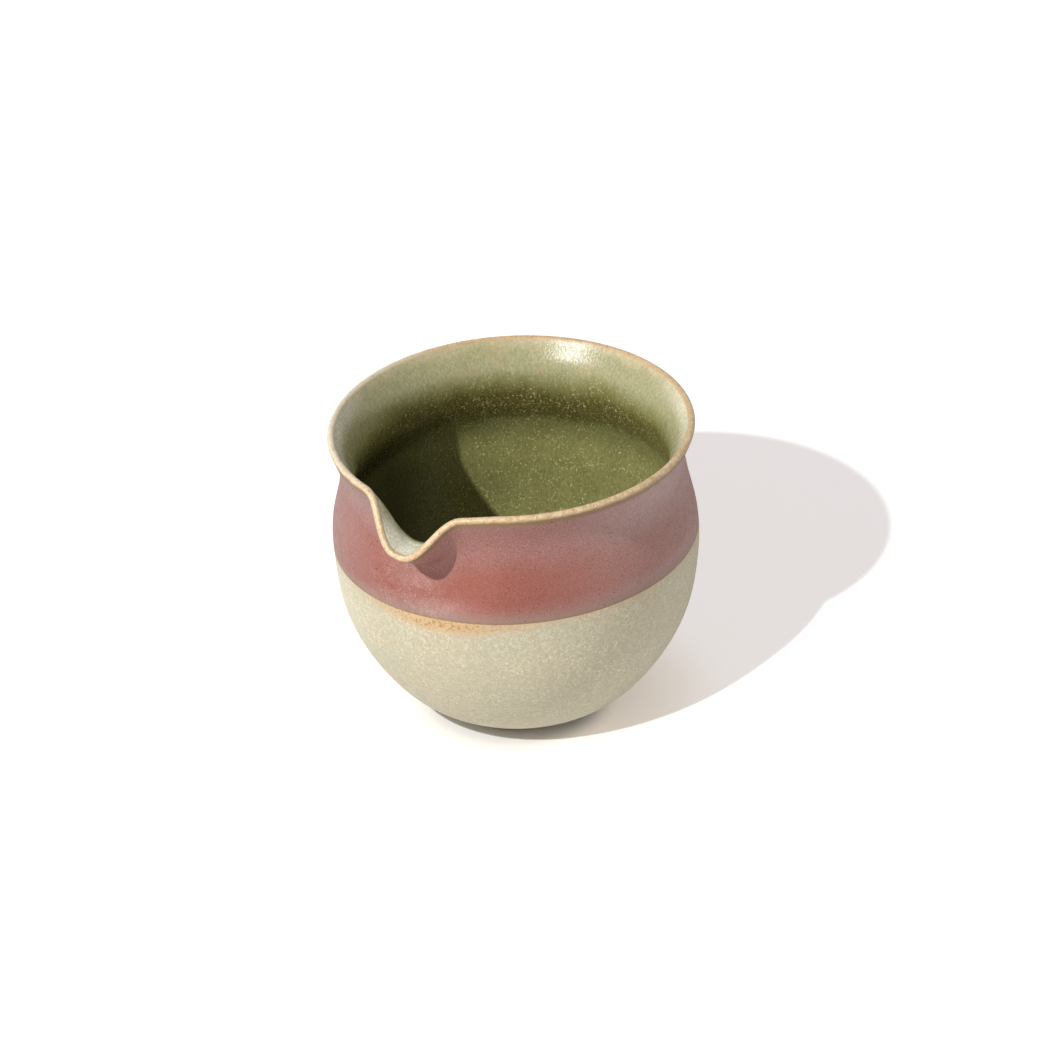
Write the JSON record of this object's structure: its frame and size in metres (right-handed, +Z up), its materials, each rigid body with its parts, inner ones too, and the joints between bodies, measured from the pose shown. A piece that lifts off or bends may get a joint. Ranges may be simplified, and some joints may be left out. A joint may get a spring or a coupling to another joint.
{
  "type": "spouted tea bowl",
  "caption": "Small round stoneware bowl with a flared lip and a pressed pouring spout, green glazed inside, with a satin-matt red band over sage glaze outside, on a small bare foot ring.",
  "frame": {"origin": "centre of the bounding box's bottom face, on the table, 2.8 mm from the foot ring's centre towards the spout", "axes": "+Z up, parallel to the axis on which the bowl was thrown, -Y towards the spout, +X to the right of a viewer who faces the spout"},
  "size_m": [0.0915, 0.0972, 0.0813],
  "materials": {
    "bare_clay": "fired bare stoneware, matt and slightly gritty",
    "green_glaze": "glossy mottled green ash glaze",
    "tan_lip_glaze": "thin satin glaze broken to tan over the lip",
    "red_glaze": "satin-matt brick red to mauve glaze with fine dark specks",
    "sage_glaze": "satin-matt sage glaze with fine pale crystals"
  },
  "bodies": {
    "root": {"clay_body": "bare_clay", "inside_green_glaze": "green_glaze", "lip_glaze": "tan_lip_glaze", "red_glaze_band": "red_glaze", "outside_sage_glaze": "sage_glaze"}
  },
  "joints": []
}
